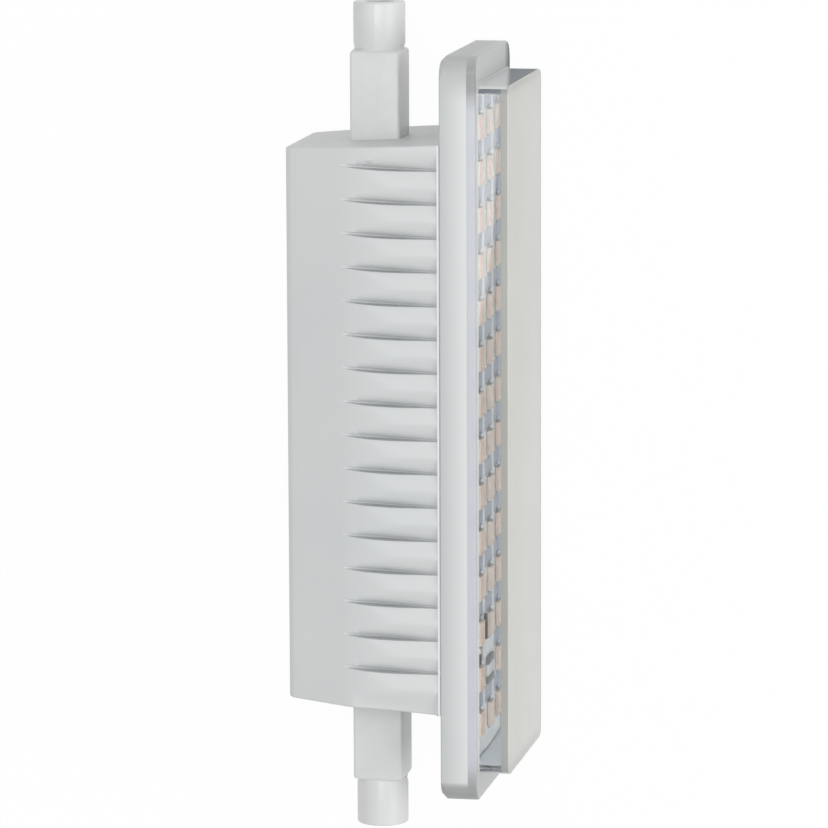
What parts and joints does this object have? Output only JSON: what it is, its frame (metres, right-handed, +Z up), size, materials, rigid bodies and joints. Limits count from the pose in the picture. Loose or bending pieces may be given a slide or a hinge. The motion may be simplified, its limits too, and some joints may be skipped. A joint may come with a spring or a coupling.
{
  "type": "double-ended linear led lamp",
  "caption": "Linear LED lamp with a contact cap at each end, a slatted white housing and a clear stepped cover over rows of light sources",
  "frame": {"origin": "middle of the footprint, on the surface that the lamp lies on", "axes": "+Y along the lamp, +X out of the clear cover, +Z up through the two slatted sides"},
  "size_m": [0.0324, 0.1176, 0.0276],
  "materials": {
    "housing_plastic": "satin moulded",
    "cap_ceramic": "smooth white ceramic",
    "contact_metal": "plated",
    "wire_sleeve": "insulated wire",
    "driver_laminate": "green solder mask",
    "capacitor_sleeve": "shrunk sleeve",
    "ferrite": "dark ferrite",
    "chip_resin": "moulded resin",
    "frame_paint": "white paint",
    "light_board": "white solder mask with blue-grey tracks",
    "led_phosphor": "phosphor in a white frame",
    "connector_resin": "dark resin with grey middle",
    "clear_polycarbonate": "clear polished"
  },
  "bodies": {
    "root": {"housing": "housing_plastic", "end_cap_upper": "cap_ceramic", "end_cap_lower": "cap_ceramic", "contact_upper": "contact_metal", "contact_lower": "contact_metal", "contact_lead_upper": "wire_sleeve", "contact_lead_lower": "wire_sleeve", "led_lead_positive": "wire_sleeve", "led_lead_negative": "wire_sleeve", "driver_board": "driver_laminate", "electrolytic_capacitor": "capacitor_sleeve", "inductor": "ferrite", "bridge_rectifier": "chip_resin", "driver_chip": "chip_resin", "head_frame": "frame_paint", "led_board": "light_board", "board_connector": "connector_resin", "clear_cover": "clear_polycarbonate", "led_01": "led_phosphor", "led_02": "led_phosphor", "led_03": "led_phosphor", "led_04": "led_phosphor", "led_05": "led_phosphor", "led_06": "led_phosphor", "led_07": "led_phosphor", "led_08": "led_phosphor", "led_09": "led_phosphor", "led_10": "led_phosphor", "led_11": "led_phosphor", "led_12": "led_phosphor", "led_13": "led_phosphor", "led_14": "led_phosphor", "led_15": "led_phosphor", "led_16": "led_phosphor", "led_17": "led_phosphor", "led_18": "led_phosphor", "led_19": "led_phosphor", "led_20": "led_phosphor", "led_21": "led_phosphor", "led_22": "led_phosphor", "led_23": "led_phosphor", "led_24": "led_phosphor", "led_25": "led_phosphor", "led_26": "led_phosphor", "led_27": "led_phosphor", "led_28": "led_phosphor", "led_29": "led_phosphor", "led_30": "led_phosphor", "led_31": "led_phosphor", "led_32": "led_phosphor", "led_33": "led_phosphor", "led_34": "led_phosphor", "led_35": "led_phosphor", "led_36": "led_phosphor", "led_37": "led_phosphor", "led_38": "led_phosphor", "led_39": "led_phosphor", "led_40": "led_phosphor", "led_41": "led_phosphor"}
  },
  "joints": []
}
